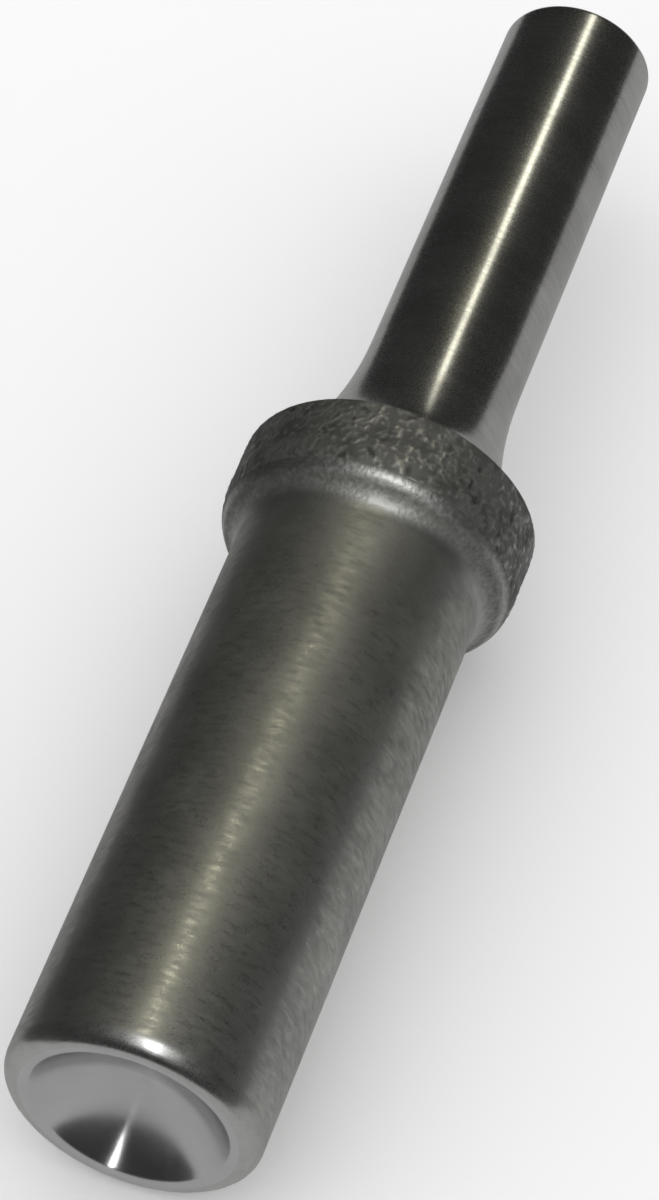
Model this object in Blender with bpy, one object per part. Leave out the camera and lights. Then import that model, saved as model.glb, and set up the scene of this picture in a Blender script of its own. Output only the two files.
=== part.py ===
"""Rivet set: the cupped tool that a rivet hammer drives, turned from one bar of tool steel.

The tool lies along X. The centre of the struck end of its shank is the origin, and +X runs through the
shank, the collar and the body to the cupped nose. Sizes are in metres.
"""

import math

import bmesh
import bpy

# Shank, the round end that goes into the hammer's barrel
SHANK_DIAMETER = 0.01019
SHANK_LENGTH = 0.0409
STRUCK_EDGE_ROUNDING = 0.0005

# Long elliptic fillet that carries the blow from the shank into the collar
SHANK_FILLET_LENGTH = 0.0115
SHANK_FILLET_HEIGHT = 0.0042

# Collar that stops the tool at the barrel. A retaining spring holds its front, which slopes to the body
COLLAR_DIAMETER = 0.0194
COLLAR_BAND_WIDTH = 0.0038
COLLAR_BACK_ROUNDING = 0.0004
COLLAR_FRONT_ROUNDING = 0.0018
COLLAR_FRONT_SLOPE = math.radians(54)

# Straight body between the collar and the nose
BODY_DIAMETER = 0.015875
BODY_LENGTH = 0.0416
BODY_FILLET = 0.0008
NOSE_ROUNDING = 0.0012

# Cup in the nose that forms the rivet's head: part of a sphere
RIM_WIDTH = 0.0017
CUP_DEPTH = 0.0030
CUP_EDGE_ROUNDING = 0.0005

# Facets
SEGMENTS = 64
ARC_STEPS = 5
FILLET_STEPS = 10
CUP_STEPS = 6
WELD_DISTANCE = 1e-6
SHARP_ANGLE = math.radians(35)

# Ground and polished tool steel
STEEL_COLOUR = (0.33, 0.32, 0.30, 1.0)
STEEL_ROUGHNESS = 0.28

# Places along the axis and around it that the sizes above lead to
SHANK_RADIUS = SHANK_DIAMETER / 2
COLLAR_RADIUS = COLLAR_DIAMETER / 2
BODY_RADIUS = BODY_DIAMETER / 2
BAND_END = SHANK_LENGTH + COLLAR_BAND_WIDTH
FRONT_ROUNDINGS = COLLAR_FRONT_ROUNDING + BODY_FILLET
FRONT_HEIGHT = COLLAR_RADIUS - BODY_RADIUS
STEEPEST_SLOPE = math.acos(max(-1.0, 1 - FRONT_HEIGHT / FRONT_ROUNDINGS))
FRONT_SLOPE = min(COLLAR_FRONT_SLOPE, STEEPEST_SLOPE)
BEVEL_HEIGHT = FRONT_HEIGHT - FRONT_ROUNDINGS * (1 - math.cos(FRONT_SLOPE))
BEVEL_REACH = BEVEL_HEIGHT / math.tan(FRONT_SLOPE)
BODY_START = BAND_END + FRONT_ROUNDINGS * math.sin(FRONT_SLOPE) + BEVEL_REACH
NOSE = BODY_START + BODY_LENGTH
MOUTH_RADIUS = BODY_RADIUS - RIM_WIDTH
CUP_SPHERE = (MOUTH_RADIUS**2 + CUP_DEPTH**2) / (2 * CUP_DEPTH)
CUP_CENTRE = NOSE - CUP_DEPTH + CUP_SPHERE
CUP_EDGE_ALONG = NOSE - CUP_EDGE_ROUNDING
CUP_EDGE_RADIUS = math.sqrt((CUP_SPHERE + CUP_EDGE_ROUNDING) ** 2 - (CUP_CENTRE - CUP_EDGE_ALONG) ** 2)


def arc(centre, size, start, end, steps):
    """Points of an elliptic arc, as (along the axis, radius), from one angle to another in degrees."""
    points = []
    for step in range(steps + 1):
        angle = math.radians(start + (end - start) * step / steps)
        along = centre[0] + size[0] * math.cos(angle)
        radius = centre[1] + size[1] * math.sin(angle)
        points.append((along, radius))
    return points


def shank_outline():
    """The struck face, its rounded edge, the ground shank and the long fillet up to the collar."""
    edge = STRUCK_EDGE_ROUNDING
    height = min(SHANK_FILLET_HEIGHT, COLLAR_RADIUS - COLLAR_BACK_ROUNDING - SHANK_RADIUS)
    fillet_centre = (SHANK_LENGTH - SHANK_FILLET_LENGTH, SHANK_RADIUS + height)
    points = [(0.0, 0.0)]
    points += arc((edge, SHANK_RADIUS - edge), (edge, edge), 180, 90, ARC_STEPS)
    points += arc(fillet_centre, (SHANK_FILLET_LENGTH, height), 270, 360, FILLET_STEPS)
    return points


def collar_outline():
    """The collar's crisp back edge, its band and its sloping front, rounded at its crest and its foot."""
    back = COLLAR_BACK_ROUNDING
    front = COLLAR_FRONT_ROUNDING
    fillet = BODY_FILLET
    slope = math.degrees(FRONT_SLOPE)
    points = arc((SHANK_LENGTH + back, COLLAR_RADIUS - back), (back, back), 180, 90, ARC_STEPS)
    points += arc((BAND_END, COLLAR_RADIUS - front), (front, front), 90, 90 - slope, ARC_STEPS)
    points += arc((BODY_START, BODY_RADIUS + fillet), (fillet, fillet), 270 - slope, 270, ARC_STEPS)
    return points


def nose_outline():
    """The rounded outer edge of the nose and its narrow flat rim."""
    edge = min(NOSE_ROUNDING, BODY_RADIUS - CUP_EDGE_RADIUS)
    return arc((NOSE - edge, BODY_RADIUS - edge), (edge, edge), 90, 0, ARC_STEPS)


def cup_outline():
    """The cup's rounded edge and its spherical floor, from the rim of the nose to the axis."""
    edge = CUP_EDGE_ROUNDING
    opening = math.degrees(math.asin(CUP_EDGE_RADIUS / (CUP_SPHERE + edge)))
    points = arc((CUP_EDGE_ALONG, CUP_EDGE_RADIUS), (edge, edge), 0, -opening, ARC_STEPS)
    points += arc((CUP_CENTRE, 0.0), (CUP_SPHERE, CUP_SPHERE), 180 - opening, 180, CUP_STEPS)
    return points


def turned_mesh(name, outline):
    """Spins an outline of (along the axis, radius) points round the X axis into one closed mesh."""
    shape = bmesh.new()
    verts = [shape.verts.new((along, radius, 0.0)) for along, radius in outline]
    edges = [shape.edges.new(pair) for pair in zip(verts, verts[1:])]
    bmesh.ops.spin(
        shape,
        geom=verts + edges,
        cent=(0.0, 0.0, 0.0),
        axis=(1.0, 0.0, 0.0),
        angle=math.tau,
        steps=SEGMENTS,
    )
    bmesh.ops.remove_doubles(shape, verts=shape.verts, dist=WELD_DISTANCE)
    bmesh.ops.recalc_face_normals(shape, faces=shape.faces)
    mesh = bpy.data.meshes.new(name)
    shape.to_mesh(mesh)
    shape.free()
    mesh.shade_smooth()
    mesh.set_sharp_from_angle(angle=SHARP_ANGLE)
    return mesh


def tool_steel():
    """Dark, satin tool steel."""
    material = bpy.data.materials.new("tool_steel")
    material.use_nodes = True
    shader = material.node_tree.nodes["Principled BSDF"]
    shader.inputs["Base Color"].default_value = STEEL_COLOUR
    shader.inputs["Metallic"].default_value = 1.0
    shader.inputs["Roughness"].default_value = STEEL_ROUGHNESS
    return material


def rivet_set():
    """The whole tool: one turned piece from the struck end to the cup."""
    outline = shank_outline() + collar_outline() + nose_outline() + cup_outline()
    mesh = turned_mesh("rivet_set", outline)
    mesh.materials.append(tool_steel())
    tool = bpy.data.objects.new("rivet_set", mesh)
    bpy.context.scene.collection.objects.link(tool)
    return tool


def main():
    for old in list(bpy.data.objects):
        bpy.data.objects.remove(old, do_unlink=True)
    rivet_set()


main()
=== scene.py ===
"""Looks of the rivet set: a finely turned mesh in the place of the solid, its steel, and a small studio.

The part keeps the frame of the solid: the tool lies along X, the centre of its struck end is the origin, and
+X runs through the shank, the collar and the body to the cupped nose. Sizes are in metres.
"""

import math
import random

import bpy
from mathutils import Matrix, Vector, noise


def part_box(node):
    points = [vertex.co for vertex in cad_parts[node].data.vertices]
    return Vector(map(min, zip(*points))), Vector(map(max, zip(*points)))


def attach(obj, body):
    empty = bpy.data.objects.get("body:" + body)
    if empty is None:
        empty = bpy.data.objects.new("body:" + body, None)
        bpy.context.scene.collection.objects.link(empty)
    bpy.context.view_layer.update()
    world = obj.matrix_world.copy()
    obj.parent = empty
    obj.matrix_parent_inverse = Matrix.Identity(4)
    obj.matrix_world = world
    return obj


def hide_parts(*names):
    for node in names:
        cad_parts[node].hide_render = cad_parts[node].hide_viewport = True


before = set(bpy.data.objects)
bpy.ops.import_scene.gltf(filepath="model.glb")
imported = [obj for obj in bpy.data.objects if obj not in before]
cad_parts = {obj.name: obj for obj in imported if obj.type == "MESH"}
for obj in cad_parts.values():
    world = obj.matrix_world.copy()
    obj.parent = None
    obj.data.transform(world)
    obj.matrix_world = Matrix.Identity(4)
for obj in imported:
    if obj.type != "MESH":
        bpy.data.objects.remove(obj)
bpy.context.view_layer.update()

MM = 0.001

# Sizes of the tool, as in the solid
SHANK_RADIUS = 5.095 * MM
SHANK_LENGTH = 40.9 * MM
STRUCK_EDGE_ROUNDING = 0.5 * MM
SHANK_FILLET_LENGTH = 11.5 * MM
SHANK_FILLET_HEIGHT = 4.2 * MM
COLLAR_RADIUS = 9.7 * MM
COLLAR_BAND_WIDTH = 3.8 * MM
COLLAR_BACK_ROUNDING = 0.4 * MM
BODY_RADIUS = 7.9375 * MM
NOSE_ROUNDING = 1.2 * MM
RIM_WIDTH = 1.7 * MM
CUP_DEPTH = 3.0 * MM
CUP_EDGE_ROUNDING = 0.5 * MM

# The collar's front, with fuller roundings and a flatter slope than the solid has
COLLAR_FRONT_ROUNDING = 2.6 * MM
COLLAR_FRONT_SLOPE = math.radians(51)
BODY_FILLET = 1.8 * MM

# Places that the sizes lead to. The nose is where the solid ends
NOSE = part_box("rivet_set")[1].x
BAND_END = SHANK_LENGTH + COLLAR_BAND_WIDTH
FRONT_ROUNDINGS = COLLAR_FRONT_ROUNDING + BODY_FILLET
BEVEL_HEIGHT = COLLAR_RADIUS - BODY_RADIUS - FRONT_ROUNDINGS * (1 - math.cos(COLLAR_FRONT_SLOPE))
BEVEL_REACH = BEVEL_HEIGHT / math.tan(COLLAR_FRONT_SLOPE)
BODY_START = BAND_END + FRONT_ROUNDINGS * math.sin(COLLAR_FRONT_SLOPE) + BEVEL_REACH
MOUTH_RADIUS = BODY_RADIUS - RIM_WIDTH
CUP_SPHERE = (MOUTH_RADIUS**2 + CUP_DEPTH**2) / (2 * CUP_DEPTH)
CUP_CENTRE = NOSE - CUP_DEPTH + CUP_SPHERE
CUP_EDGE_ALONG = NOSE - CUP_EDGE_ROUNDING
CUP_EDGE_RADIUS = math.sqrt((CUP_SPHERE + CUP_EDGE_ROUNDING) ** 2 - (CUP_CENTRE - CUP_EDGE_ALONG) ** 2)

# Fineness of the turned mesh
SEGMENTS = 720
FACE_STEPS = 2
EDGE_STEPS = 6
SHANK_STEPS = 3
FILLET_STEPS = 16
BAND_STEPS = 46
SKIN_STEPS = 6
ROLL_STEPS = 7
BEVEL_STEPS = 2
BODY_STEPS = 6
CUP_STEPS = 16

# Forged skin of the collar's band, which reaches a little way over its front: a slow unevenness, close grains
# of two sizes, and pits
SKIN_TURN = math.radians(24)
SKIN_END = BAND_END + COLLAR_FRONT_ROUNDING * math.sin(SKIN_TURN)
SKIN_FADE = 0.5 * MM
UNEVEN_SIZE = 1.8 * MM
UNEVEN_DEPTH = 0.05 * MM
UNEVEN_LAYERS = 3
UNEVEN_LAYER_FINENESS = 2.0
UNEVEN_LAYER_FADING = 1.0
GRAIN_SIZES = (0.50 * MM, 0.27 * MM)
GRAIN_SHARES = (0.9, 0.8)
GRAIN_LEVEL = 0.15
GRAIN_HEIGHT = 0.07 * MM
PIT_COUNT = 60
PIT_HALF_LENGTH = (0.2 * MM, 0.6 * MM)
PIT_SLENDERNESS = (0.3, 0.8)
PIT_DEPTH = (0.02 * MM, 0.06 * MM)
PIT_SEED = 11

# Remains of the skin, which thin out over the front and end on the body
SKIN_REMAINS_END = BODY_START + 2.2 * MM

# Polish, as (place along the tool, how far it reaches to both sides, how strong it is): of the crest of the
# collar's front and of its foot, which the spring rubs, and of the nose. The body's grows towards the nose
CREST_POLISH = (BAND_END + 1.45 * MM, 0.45 * MM, 0.52)
FOOT_POLISH = (BODY_START - 0.6 * MM, 1.0 * MM, 0.40)
NOSE_POLISH = (NOSE, 1.8 * MM, 0.75)
BODY_POLISH = 0.25

# All the steel: its tint at grazing angles, and the spread of two cloudy patterns that are added up
EDGE_TINT = (0.88, 0.88, 0.88, 1.0)
MINGLED_SPREAD = (0.7, 1.3)

# Ground steel of the shank
GROUND_STAIN_SIZE = 4.0 * MM
GROUND_RING_SIZE = 0.25 * MM
GROUND_RING_STRETCH = (1.0, 24.0, 24.0)
GROUND_MARK_SIZE = 0.03 * MM
GROUND_MARK_SPREAD = (0.50, 0.75)
GROUND_COLOURS = ((0.39, 0.387, 0.376), (0.55, 0.545, 0.53))
GROUND_ROUGHNESS = (0.17, 0.50)

# Faced steel of the struck end
FACED_RING_SIZE = 0.25 * MM
FACED_RING_DEPTH = 0.012 * MM
FACED_RING_SPREAD = (0.3, 0.7)
FACED_COLOURS = ((0.43, 0.426, 0.413), (0.55, 0.545, 0.53))
FACED_ROUGHNESS = (0.24, 0.40)

# Forged steel of the collar's band. Its hollows are counted in the height of a grain
FORGED_GRIT_SIZE = 0.10 * MM
FORGED_GRIT_DEPTH = 0.025 * MM
FORGED_COLOUR_HOLLOWS = (0.3, 1.7)
FORGED_COLOURS = ((0.56, 0.56, 0.55), (0.17, 0.169, 0.164))
FORGED_ROUGHNESS_HOLLOWS = (0.2, 1.1)
FORGED_ROUGHNESS = (0.32, 0.72)

# Satin steel of the collar's front, the body and the nose
SATIN_CLOUD_SIZE = 0.6 * MM
SATIN_CLOUD_STRETCH = (0.6, 1.8, 1.8)
SATIN_BLOTCH_SIZE = 3.0 * MM
SATIN_COLOURS = ((0.33, 0.328, 0.307), (0.51, 0.507, 0.478))
SATIN_POLISHED_COLOUR = (0.62, 0.62, 0.615)
SATIN_SPECKLE_SIZE = 0.28 * MM
SATIN_SPECKLE_DEPTH = 0.03 * MM
SATIN_SPECKLE_SPREAD = (1.0, 1.6)
SATIN_SPECKLE_COLOUR = (0.20, 0.199, 0.190)
SATIN_RUBBED_OFF = 0.7
SATIN_MARK_SIZE = 0.03 * MM
SATIN_MARK_SPREAD = (0.42, 0.66)
SATIN_CLOUD_SHARE = 0.28
SATIN_ROUGHNESS = (0.72, 0.19)
SATIN_SKIN_ROUGHNESS = 0.68
SATIN_POLISHED_ROUGHNESS = 0.12

# Polished steel of the rim and the cup
POLISHED_STAIN_SIZE = 1.5 * MM
POLISHED_STAIN_SPREAD = (0.3, 0.7)
POLISHED_COLOURS = ((0.57, 0.57, 0.57), (0.67, 0.67, 0.67))
POLISHED_ROUGHNESS = (0.17, 0.20)
POLISHED_STREAK = 0.95
POLISHED_STREAK_TURN = 0.25

# Camera of the photograph
CAMERA_PLACE = Vector((0.22821, 0.05904, 0.24056))
CAMERA_TARGET = Vector((0.04874, -0.00134, -0.00097))
CAMERA_CLIP = (0.01, 20.0)
LENS = 148.14
SENSOR = 36.0

# The tool lies on the front of its collar and on its nose, so the floor leans a little against its axis
FLOOR_TOUCH = Vector((BAND_END + 0.07 * MM, 0.0, -COLLAR_RADIUS))
FLOOR_LEAN = math.radians(2.36)
FLOOR_SIZE = 12.0
FLOOR_COLOUR = (0.97, 0.97, 0.97, 1.0)

# Light: a white room, and six long lamps in a row over the tool, each as
# (name, where it starts and ends along X, its middle along Y, width, brightness, colour)
WORLD_COLOUR = (1.0, 1.0, 1.0, 1.0)
WORLD_STRENGTH = 1.0
LAMP_HEIGHT = 0.30
COOL_WHITE = (1.0, 1.0, 1.0)
WARM_WHITE = (1.0, 0.985, 0.82)
YELLOW_WHITE = (1.0, 0.975, 0.75)
AMBER_WHITE = (1.0, 0.96, 0.62)
LAMPS = (
    ("low_lamp", (-4.000, -0.455), 0.054, 0.040, 2.0, WARM_WHITE),
    ("back_lamp", (-0.450, -0.205), 0.054, 0.040, 4.1, WARM_WHITE),
    ("middle_lamp", (-0.195, -0.135), 0.000, 0.036, 1.2, AMBER_WHITE),
    ("body_lamp", (-0.130, 0.060), 0.000, 0.036, 3.2, YELLOW_WHITE),
    ("front_lamp", (0.110, 0.600), 0.048, 0.026, 19.0, COOL_WHITE),
    ("far_lamp", (0.605, 2.200), 0.045, 0.022, 4.5, COOL_WHITE),
)

# What the steel mirrors: a grey sheet on the floor, and dark surroundings, each as where it starts and ends
# along X and Y. The sheet's places are counted from the part's origin. Those of the surroundings are counted
# from where the collar touches the floor, and their height comes last
SHEET_COLOUR = (0.49, 0.49, 0.49, 1.0)
SHEET = ((-0.06, 0.112), (-0.037, 0.080))
SHEET_GAP = 0.3 * MM
DARK_COLOUR = (0.042, 0.042, 0.042, 1.0)
DARK_ROOM = ((-4.2, 2.4), (-2.0, 2.0), 1.5)


def arc(centre, size, start, end, steps):
    """Points of an elliptic arc, as (along the axis, radius), from one angle to another in degrees."""
    points = []
    for step in range(steps + 1):
        angle = math.radians(start + (end - start) * step / steps)
        along = centre[0] + size[0] * math.cos(angle)
        radius = centre[1] + size[1] * math.sin(angle)
        points.append((along, radius))
    return points


def line(start, end, steps):
    """Points of a straight stretch, both ends with it."""
    points = []
    for step in range(steps + 1):
        share = step / steps
        along = start[0] + (end[0] - start[0]) * share
        radius = start[1] + (end[1] - start[1]) * share
        points.append((along, radius))
    return points


def joined(*stretches):
    """One row of points from several stretches, each of which starts where the one before it ends."""
    points = list(stretches[0])
    for stretch in stretches[1:]:
        points += stretch[1:]
    return points


def struck_face_outline():
    """The flat face that the hammer's piston strikes."""
    return line((0.0, 0.0), (0.0, SHANK_RADIUS - STRUCK_EDGE_ROUNDING), FACE_STEPS)


def shank_outline():
    """The rounded edge of the struck face, the ground shank and the long fillet up to the collar."""
    edge = STRUCK_EDGE_ROUNDING
    fillet_start = SHANK_LENGTH - SHANK_FILLET_LENGTH
    fillet_size = (SHANK_FILLET_LENGTH, SHANK_FILLET_HEIGHT)
    return joined(
        arc((edge, SHANK_RADIUS - edge), (edge, edge), 180, 90, EDGE_STEPS),
        line((edge, SHANK_RADIUS), (fillet_start, SHANK_RADIUS), SHANK_STEPS),
        arc((fillet_start, SHANK_RADIUS + SHANK_FILLET_HEIGHT), fillet_size, 270, 360, FILLET_STEPS),
    )


def band_outline():
    """The collar's back edge, its band and the part of its front that still has the forged skin."""
    edge = COLLAR_BACK_ROUNDING
    front = COLLAR_FRONT_ROUNDING
    skin = math.degrees(SKIN_TURN)
    return joined(
        line((SHANK_LENGTH, SHANK_RADIUS + SHANK_FILLET_HEIGHT), (SHANK_LENGTH, COLLAR_RADIUS - edge), 1),
        arc((SHANK_LENGTH + edge, COLLAR_RADIUS - edge), (edge, edge), 180, 90, EDGE_STEPS),
        line((SHANK_LENGTH + edge, COLLAR_RADIUS), (BAND_END, COLLAR_RADIUS), BAND_STEPS),
        arc((BAND_END, COLLAR_RADIUS - front), (front, front), 90, 90 - skin, SKIN_STEPS),
    )


def body_outline():
    """The rest of the collar's sloping front, the straight body and the rounded edge of the nose."""
    front = COLLAR_FRONT_ROUNDING
    fillet = BODY_FILLET
    nose = NOSE_ROUNDING
    skin = math.degrees(SKIN_TURN)
    slope = math.degrees(COLLAR_FRONT_SLOPE)
    crest = arc((BAND_END, COLLAR_RADIUS - front), (front, front), 90 - skin, 90 - slope, ROLL_STEPS)
    foot = arc((BODY_START, BODY_RADIUS + fillet), (fillet, fillet), 270 - slope, 270, ROLL_STEPS)
    return joined(
        crest,
        line(crest[-1], foot[0], BEVEL_STEPS),
        foot,
        line((BODY_START, BODY_RADIUS), (NOSE - nose, BODY_RADIUS), BODY_STEPS),
        arc((NOSE - nose, BODY_RADIUS - nose), (nose, nose), 90, 0, EDGE_STEPS),
    )


def cup_outline():
    """The nose's flat rim, the cup's rounded edge and its spherical floor."""
    edge = CUP_EDGE_ROUNDING
    opening = math.degrees(math.asin(CUP_EDGE_RADIUS / (CUP_SPHERE + edge)))
    return joined(
        line((NOSE, BODY_RADIUS - NOSE_ROUNDING), (NOSE, CUP_EDGE_RADIUS), 1),
        arc((CUP_EDGE_ALONG, CUP_EDGE_RADIUS), (edge, edge), 0, -opening, EDGE_STEPS),
        arc((CUP_CENTRE, 0.0), (CUP_SPHERE, CUP_SPHERE), 180 - opening, 180, CUP_STEPS),
    )


def forged_pits():
    """Pits of the forged band as (along, angle, half length, half width, slant, depth)."""
    draw = random.Random(PIT_SEED)
    pits = []
    for _ in range(PIT_COUNT):
        half_length = draw.uniform(*PIT_HALF_LENGTH)
        pits.append(
            (
                draw.uniform(SHANK_LENGTH, SKIN_END),
                draw.uniform(0.0, math.tau),
                half_length,
                half_length * draw.uniform(*PIT_SLENDERNESS),
                draw.uniform(0.0, math.pi),
                draw.uniform(*PIT_DEPTH),
            )
        )
    return pits


PITS = forged_pits()


def grain_height(place):
    """How high the forging's grains stand at a place, from 0 to 1."""
    height = GRAIN_LEVEL
    for size, share in zip(GRAIN_SIZES, GRAIN_SHARES):
        height += share * noise.noise(place / size)
    return max(0.0, min(1.0, height))


def pit_depth(along, angle):
    """How deep the pits are at a place of the forged band, added up where they overlap."""
    hollow = 0.0
    for pit_along, pit_angle, half_length, half_width, slant, depth in PITS:
        over = along - pit_along
        round_by = math.remainder(angle - pit_angle, math.tau) * COLLAR_RADIUS
        if abs(over) > half_length or abs(round_by) > half_length:
            continue
        length_share = (over * math.cos(slant) + round_by * math.sin(slant)) / half_length
        width_share = (round_by * math.cos(slant) - over * math.sin(slant)) / half_width
        share = length_share**2 + width_share**2
        if share < 1:
            hollow += depth * (1 - share)
    return hollow


def band_hollow(along, angle):
    """How deep the forged skin lies under the collar's full size at a place, where it is whole."""
    place = Vector((along, COLLAR_RADIUS * math.cos(angle), COLLAR_RADIUS * math.sin(angle)))
    swell = noise.fractal(place / UNEVEN_SIZE, UNEVEN_LAYER_FADING, UNEVEN_LAYER_FINENESS, UNEVEN_LAYERS)
    hollow = UNEVEN_DEPTH * (0.5 + 0.5 * swell)
    hollow += GRAIN_HEIGHT * (1 - grain_height(place))
    hollow += pit_depth(along, angle)
    return max(0.0, hollow)


def skin_fade(along):
    """How much of the forged relief there is at a place: all of it on the band, and none past its edges."""
    from_back = (along - SHANK_LENGTH) / COLLAR_BACK_ROUNDING
    from_front = (SKIN_END - along) / SKIN_FADE
    return max(0.0, min(1.0, from_back, from_front))


def polish_at(along):
    """How bright the collar's front and the body are at a place: 0 is dull, and 1 is a polish."""
    polish = max(0.0, BODY_POLISH * (along - BODY_START) / (NOSE - BODY_START))
    for place, reach, strength in (CREST_POLISH, FOOT_POLISH, NOSE_POLISH):
        polish = max(polish, strength * (1 - abs(along - place) / reach))
    return polish


def skin_at(along):
    """How much of the forged skin is left at a place: 1 on the band, thinning out over the front."""
    return max(0.0, min(1.0, (SKIN_REMAINS_END - along) / (SKIN_REMAINS_END - SKIN_END)))


def turned_points(outline):
    """Points of an outline turned round the X axis, and the layers of values that its steel goes by.

    Both ends of the outline lie on the axis.
    """
    points = [(outline[0][0], 0.0, 0.0)]
    layers = {"hollow": [0.0], "polish": [0.0], "skin": [1.0]}
    for along, radius in outline[1:-1]:
        on_collar = SHANK_LENGTH < along < BODY_START
        fade = skin_fade(along)
        layers["polish"] += [polish_at(along)] * SEGMENTS
        layers["skin"] += [skin_at(along)] * SEGMENTS
        for segment in range(SEGMENTS):
            angle = math.tau * segment / SEGMENTS
            hollow = band_hollow(along, angle) if on_collar else 0.0
            layers["hollow"].append(hollow / GRAIN_HEIGHT)
            skin_radius = radius - fade * hollow
            points.append((along, skin_radius * math.cos(angle), skin_radius * math.sin(angle)))
    points.append((outline[-1][0], 0.0, 0.0))
    layers["hollow"].append(0.0)
    layers["polish"].append(1.0)
    layers["skin"].append(0.0)
    return points, layers


def turned_faces(rows):
    """Faces between the points of a turned outline that has this many rows of faces, row after row."""
    last_point = 1 + (rows - 1) * SEGMENTS
    faces = []
    for row in range(rows):
        here = 1 + (row - 1) * SEGMENTS
        ahead = here + SEGMENTS
        for segment in range(SEGMENTS):
            following = (segment + 1) % SEGMENTS
            if row == 0:
                faces.append((0, ahead + following, ahead + segment))
            elif row == rows - 1:
                faces.append((here + segment, here + following, last_point))
            else:
                faces.append((here + segment, here + following, ahead + following, ahead + segment))
    return faces


def turned_tool(stretches):
    """The whole tool, turned round the X axis from stretches of (material, outline)."""
    mesh = bpy.data.meshes.new("turned_tool")
    face_materials = []
    for index, (material, stretch) in enumerate(stretches):
        mesh.materials.append(material)
        face_materials += [index] * (len(stretch) - 1) * SEGMENTS
    outline = joined(*[stretch for _, stretch in stretches])
    points, layers = turned_points(outline)
    mesh.from_pydata(points, [], turned_faces(len(outline) - 1))
    mesh.polygons.foreach_set("material_index", face_materials)
    for name, values in layers.items():
        layer = mesh.attributes.new(name, "FLOAT", "POINT")
        layer.data.foreach_set("value", values)
    mesh.shade_smooth()
    mesh.validate()
    tool = bpy.data.objects.new("turned_tool", mesh)
    bpy.context.scene.collection.objects.link(tool)
    return tool


def new_steel(name):
    """A metal material, with its node tree and its shader."""
    material = bpy.data.materials.new(name)
    material.use_nodes = True
    tree = material.node_tree
    shader = tree.nodes["Principled BSDF"]
    shader.inputs["Metallic"].default_value = 1.0
    shader.inputs["Specular Tint"].default_value = EDGE_TINT
    return material, tree, shader


def grain(tree, size, stretch=(1.0, 1.0, 1.0), detail=2.0):
    """A cloudy pattern fixed to the part.

    Size is about that of one cloud, and stretch lengthens the clouds along X, Y and Z.
    """
    place = tree.nodes.new("ShaderNodeTexCoord")
    scaling = tree.nodes.new("ShaderNodeMapping")
    scaling.inputs["Scale"].default_value = [1 / (size * factor) for factor in stretch]
    clouds = tree.nodes.new("ShaderNodeTexNoise")
    clouds.inputs["Scale"].default_value = 1.0
    clouds.inputs["Detail"].default_value = detail
    tree.links.new(place.outputs["Object"], scaling.inputs["Vector"])
    tree.links.new(scaling.outputs["Vector"], clouds.inputs["Vector"])
    return clouds.outputs["Fac"]


def rings_round_origin(tree, size):
    """A pattern of rings round the part's origin. Size is about that of one ring."""
    place = tree.nodes.new("ShaderNodeTexCoord")
    from_centre = tree.nodes.new("ShaderNodeVectorMath")
    from_centre.operation = "LENGTH"
    rings = tree.nodes.new("ShaderNodeTexNoise")
    rings.noise_dimensions = "1D"
    rings.inputs["Scale"].default_value = 1 / size
    tree.links.new(place.outputs["Object"], from_centre.inputs[0])
    tree.links.new(from_centre.outputs["Value"], rings.inputs["W"])
    return rings.outputs["Fac"]


def layer_value(tree, name):
    """The value that a layer of the mesh has at a place."""
    node = tree.nodes.new("ShaderNodeAttribute")
    node.attribute_name = name
    return node.outputs["Fac"]


def between(tree, value, from_range, to_range):
    """A value mapped from one range to another, and held inside it."""
    node = tree.nodes.new("ShaderNodeMapRange")
    node.inputs["From Min"].default_value = from_range[0]
    node.inputs["From Max"].default_value = from_range[1]
    node.inputs["To Min"].default_value = to_range[0]
    node.inputs["To Max"].default_value = to_range[1]
    tree.links.new(value, node.inputs["Value"])
    return node.outputs["Result"]


def combined(tree, operation, first, second):
    """Two values added, subtracted or multiplied."""
    node = tree.nodes.new("ShaderNodeMath")
    node.operation = operation
    tree.links.new(first, node.inputs[0])
    tree.links.new(second, node.inputs[1])
    return node.outputs["Value"]


def mingled(tree, first, second):
    """Two cloudy patterns as one, from 0 to 1."""
    return between(tree, combined(tree, "ADD", first, second), MINGLED_SPREAD, (0.0, 1.0))


def averaged(tree, first, second, share):
    """Two values as one, of which the second has a fixed share."""
    node = tree.nodes.new("ShaderNodeMix")
    node.inputs["Factor"].default_value = share
    tree.links.new(first, node.inputs["A"])
    tree.links.new(second, node.inputs["B"])
    return node.outputs["Result"]


def drawn_to(tree, share, value, goal):
    """A value that gives way to a fixed one by a share from 0 to 1."""
    node = tree.nodes.new("ShaderNodeMix")
    node.inputs["B"].default_value = goal
    tree.links.new(share, node.inputs["Factor"])
    tree.links.new(value, node.inputs["A"])
    return node.outputs["Result"]


def blended(tree, share, colours):
    """A colour between two colours, by a share from 0 to 1."""
    node = tree.nodes.new("ShaderNodeMix")
    node.data_type = "RGBA"
    node.inputs["A"].default_value = (*colours[0], 1.0)
    node.inputs["B"].default_value = (*colours[1], 1.0)
    tree.links.new(share, node.inputs["Factor"])
    return node.outputs["Result"]


def stained(tree, share, colour, stain):
    """A colour that gives way to a stain by a share from 0 to 1."""
    node = tree.nodes.new("ShaderNodeMix")
    node.data_type = "RGBA"
    node.inputs["B"].default_value = (*stain, 1.0)
    tree.links.new(share, node.inputs["Factor"])
    tree.links.new(colour, node.inputs["A"])
    return node.outputs["Result"]


def bumped(tree, height, depth):
    """The surface's normal with a relief of that depth."""
    node = tree.nodes.new("ShaderNodeBump")
    node.inputs["Strength"].default_value = 1.0
    node.inputs["Distance"].default_value = depth
    tree.links.new(height, node.inputs["Height"])
    return node.outputs["Normal"]


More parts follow.
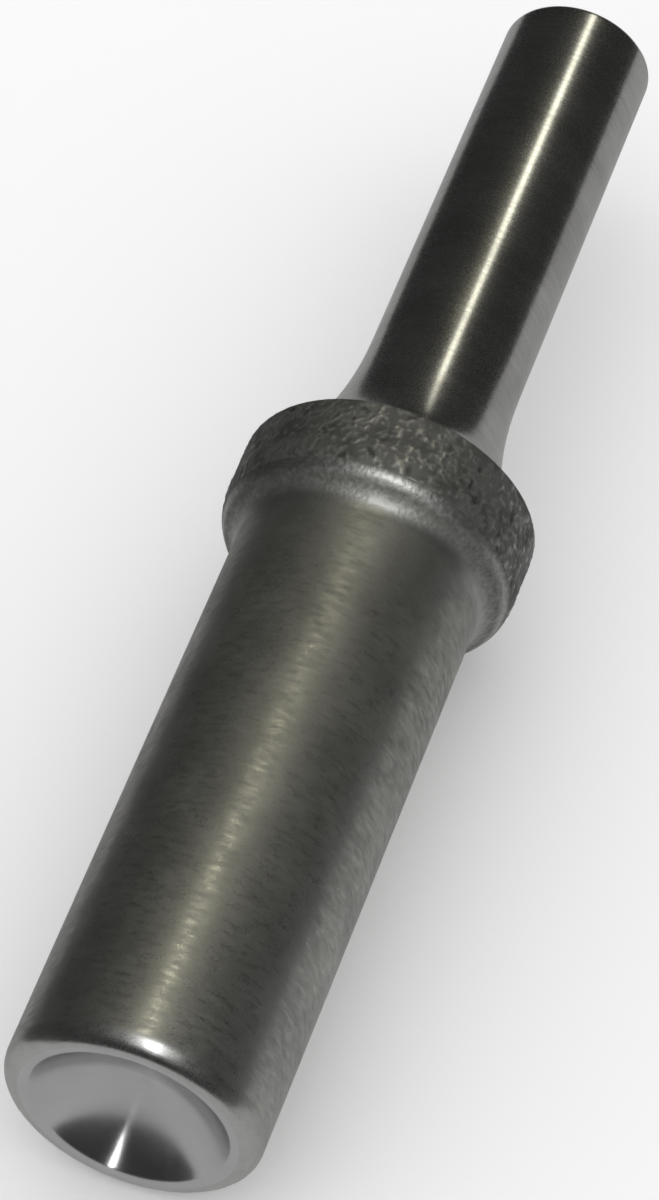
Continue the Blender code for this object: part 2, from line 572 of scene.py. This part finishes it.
def faced_steel():
    """The struck face: faced in the lathe, with fine rings round its centre."""
    material, tree, shader = new_steel("faced_steel")
    rings = rings_round_origin(tree, FACED_RING_SIZE)
    roughness = between(tree, rings, FACED_RING_SPREAD, FACED_ROUGHNESS)
    tree.links.new(blended(tree, rings, FACED_COLOURS), shader.inputs["Base Color"])
    tree.links.new(roughness, shader.inputs["Roughness"])
    tree.links.new(bumped(tree, rings, FACED_RING_DEPTH), shader.inputs["Normal"])
    return material


def ground_steel():
    """The shank: ground bright, with rings round it, marks too fine to tell apart, and faint stains."""
    material, tree, shader = new_steel("ground_steel")
    stain = grain(tree, GROUND_STAIN_SIZE, detail=3.0)
    rings = grain(tree, GROUND_RING_SIZE, stretch=GROUND_RING_STRETCH)
    marks = grain(tree, GROUND_MARK_SIZE, detail=1.0)
    roughness = between(tree, marks, GROUND_MARK_SPREAD, GROUND_ROUGHNESS)
    tree.links.new(blended(tree, mingled(tree, stain, rings), GROUND_COLOURS), shader.inputs["Base Color"])
    tree.links.new(roughness, shader.inputs["Roughness"])
    return material


def forged_steel():
    """The collar's band: dull forged skin, dark where it lies deep and rubbed brighter where it is high."""
    material, tree, shader = new_steel("forged_steel")
    hollow = layer_value(tree, "hollow")
    grit = grain(tree, FORGED_GRIT_SIZE, detail=3.0)
    darkness = between(tree, hollow, FORGED_COLOUR_HOLLOWS, (0.0, 1.0))
    roughness = between(tree, hollow, FORGED_ROUGHNESS_HOLLOWS, FORGED_ROUGHNESS)
    tree.links.new(blended(tree, darkness, FORGED_COLOURS), shader.inputs["Base Color"])
    tree.links.new(roughness, shader.inputs["Roughness"])
    tree.links.new(bumped(tree, grit, FORGED_GRIT_DEPTH), shader.inputs["Normal"])
    return material


def satin_steel():
    """The collar's front, the body and the nose: turned and blasted satin, brighter where it is polished.

    Near the band, the forged skin has left dark speckle, which is thinner where the polish has rubbed it off.
    """
    material, tree, shader = new_steel("satin_steel")
    clouds = grain(tree, SATIN_CLOUD_SIZE, stretch=SATIN_CLOUD_STRETCH, detail=4.0)
    blotches = grain(tree, SATIN_BLOTCH_SIZE, detail=3.0)
    marks = grain(tree, SATIN_MARK_SIZE, detail=1.0)
    speckle = grain(tree, SATIN_SPECKLE_SIZE, detail=3.0)
    skin = layer_value(tree, "skin")
    polish = layer_value(tree, "polish")
    rubbed_off = between(tree, polish, (0.0, 1.0), (0.0, SATIN_RUBBED_OFF))
    remains = combined(tree, "SUBTRACT", combined(tree, "ADD", skin, speckle), rubbed_off)
    darkness = between(tree, remains, SATIN_SPECKLE_SPREAD, (0.0, 1.0))
    satin_colour = blended(tree, mingled(tree, clouds, blotches), SATIN_COLOURS)
    bright_colour = stained(tree, polish, satin_colour, SATIN_POLISHED_COLOUR)
    colour = stained(tree, darkness, bright_colour, SATIN_SPECKLE_COLOUR)
    mottle = averaged(tree, marks, clouds, SATIN_CLOUD_SHARE)
    satin = between(tree, mottle, SATIN_MARK_SPREAD, SATIN_ROUGHNESS)
    dulled = drawn_to(tree, skin, satin, SATIN_SKIN_ROUGHNESS)
    roughness = drawn_to(tree, polish, dulled, SATIN_POLISHED_ROUGHNESS)
    relief = combined(tree, "MULTIPLY", speckle, skin)
    tree.links.new(colour, shader.inputs["Base Color"])
    tree.links.new(roughness, shader.inputs["Roughness"])
    tree.links.new(bumped(tree, relief, SATIN_SPECKLE_DEPTH), shader.inputs["Normal"])
    return material


def polished_steel():
    """The rim and the cup: polished in the lathe, so that they mirror lamps as streaks across fine rings."""
    material, tree, shader = new_steel("polished_steel")
    stain = grain(tree, POLISHED_STAIN_SIZE, detail=3.0)
    roughness = between(tree, stain, POLISHED_STAIN_SPREAD, POLISHED_ROUGHNESS)
    rings = tree.nodes.new("ShaderNodeTangent")
    rings.direction_type = "RADIAL"
    rings.axis = "X"
    shader.inputs["Anisotropic"].default_value = POLISHED_STREAK
    shader.inputs["Anisotropic Rotation"].default_value = POLISHED_STREAK_TURN
    tree.links.new(blended(tree, stain, POLISHED_COLOURS), shader.inputs["Base Color"])
    tree.links.new(roughness, shader.inputs["Roughness"])
    tree.links.new(rings.outputs["Tangent"], shader.inputs["Tangent"])
    return material


def stage_piece(name, verts, faces, colour):
    """A matt piece of the studio, which leans as the floor does.

    Its points are counted from where the collar touches the floor.
    """
    mesh = bpy.data.meshes.new(name)
    mesh.from_pydata(verts, [], faces)
    material = bpy.data.materials.new(name)
    material.use_nodes = True
    shader = material.node_tree.nodes["Principled BSDF"]
    shader.inputs["Base Color"].default_value = colour
    shader.inputs["Roughness"].default_value = 1.0
    shader.inputs["Specular IOR Level"].default_value = 0.0
    mesh.materials.append(material)
    piece = bpy.data.objects.new(name, mesh)
    bpy.context.scene.collection.objects.link(piece)
    piece.location = FLOOR_TOUCH
    piece.rotation_euler = (0.0, -FLOOR_LEAN, 0.0)
    return piece


def corners(along, across, level):
    """The four corners of a rectangle, given by where it starts and ends along X and Y, and by its height."""
    return [
        (along[0], across[0], level),
        (along[1], across[0], level),
        (along[1], across[1], level),
        (along[0], across[1], level),
    ]


def floor():
    """The pale floor under the tool. The steel's mirror images show the sheet in its place."""
    sides = (-FLOOR_SIZE / 2, FLOOR_SIZE / 2)
    piece = stage_piece("floor", corners(sides, sides, 0.0), [(0, 1, 2, 3)], FLOOR_COLOUR)
    piece.visible_glossy = False
    return piece


def mirrored_only(piece):
    """Leaves a stage piece visible in the steel's mirror images alone."""
    piece.visible_camera = False
    piece.visible_diffuse = False
    piece.visible_transmission = False
    piece.visible_shadow = False
    return piece


def sheet_corners(level):
    """The four corners of the grey sheet at a height over the floor."""
    along, across = SHEET
    return corners([end - FLOOR_TOUCH.x for end in along], across, level)


def grey_sheet():
    """The grey sheet that the tool lies on in mirror images."""
    return mirrored_only(stage_piece("grey_sheet", sheet_corners(0.0), [(0, 1, 2, 3)], SHEET_COLOUR))


def dark_room():
    """Dark ground round the sheet, walls and a ceiling in mirror images.

    Its corners 0 to 3 are the sheet's, 4 to 7 those of the ground's outer edge and 8 to 11 the ceiling's.
    """
    along, across, height = DARK_ROOM
    sheet_edge = sheet_corners(SHEET_GAP)
    ground_edge = corners(along, across, SHEET_GAP)
    ceiling = corners(along, across, height)
    faces = [(8, 9, 10, 11)]
    for here, ahead in ((0, 4), (4, 8)):
        for corner in range(4):
            following = (corner + 1) % 4
            faces.append((here + corner, here + following, ahead + following, ahead + corner))
    return mirrored_only(stage_piece("dark_room", sheet_edge + ground_edge + ceiling, faces, DARK_COLOUR))


def lamp(name, ends, middle, width, brightness, colour):
    """One long soft lamp over the tool, along it."""
    length = ends[1] - ends[0]
    data = bpy.data.lights.new(name, "AREA")
    data.shape = "RECTANGLE"
    data.size = length
    data.size_y = width
    data.energy = brightness * math.pi * length * width
    data.color = colour
    piece = bpy.data.objects.new(name, data)
    piece.location = ((ends[0] + ends[1]) / 2, middle, LAMP_HEIGHT)
    piece.visible_camera = False
    piece.visible_diffuse = False
    bpy.context.scene.collection.objects.link(piece)
    return piece


def white_room():
    """Even white light from all round."""
    world = bpy.data.worlds.new("white_room")
    world.use_nodes = True
    background = world.node_tree.nodes["Background"]
    background.inputs["Color"].default_value = WORLD_COLOUR
    background.inputs["Strength"].default_value = WORLD_STRENGTH
    bpy.context.scene.world = world
    return world


def camera():
    """The photograph's camera."""
    data = bpy.data.cameras.new("camera")
    data.lens = LENS
    data.sensor_width = SENSOR
    data.clip_start = CAMERA_CLIP[0]
    data.clip_end = CAMERA_CLIP[1]
    piece = bpy.data.objects.new("camera", data)
    piece.location = CAMERA_PLACE
    piece.rotation_euler = (CAMERA_TARGET - CAMERA_PLACE).to_track_quat("-Z", "Y").to_euler()
    bpy.context.scene.collection.objects.link(piece)
    bpy.context.scene.camera = piece
    return piece


def studio():
    """Floor, light and camera."""
    floor()
    grey_sheet()
    dark_room()
    for lamp_values in LAMPS:
        lamp(*lamp_values)
    white_room()
    camera()
    bpy.context.scene.view_settings.view_transform = "Standard"


def rivet_set():
    """The tool, in the place of its solid."""
    tool = turned_tool(
        [
            (faced_steel(), struck_face_outline()),
            (ground_steel(), shank_outline()),
            (forged_steel(), band_outline()),
            (satin_steel(), body_outline()),
            (polished_steel(), cup_outline()),
        ]
    )
    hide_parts("rivet_set")
    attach(tool, "root")
    return tool


rivet_set()
studio()
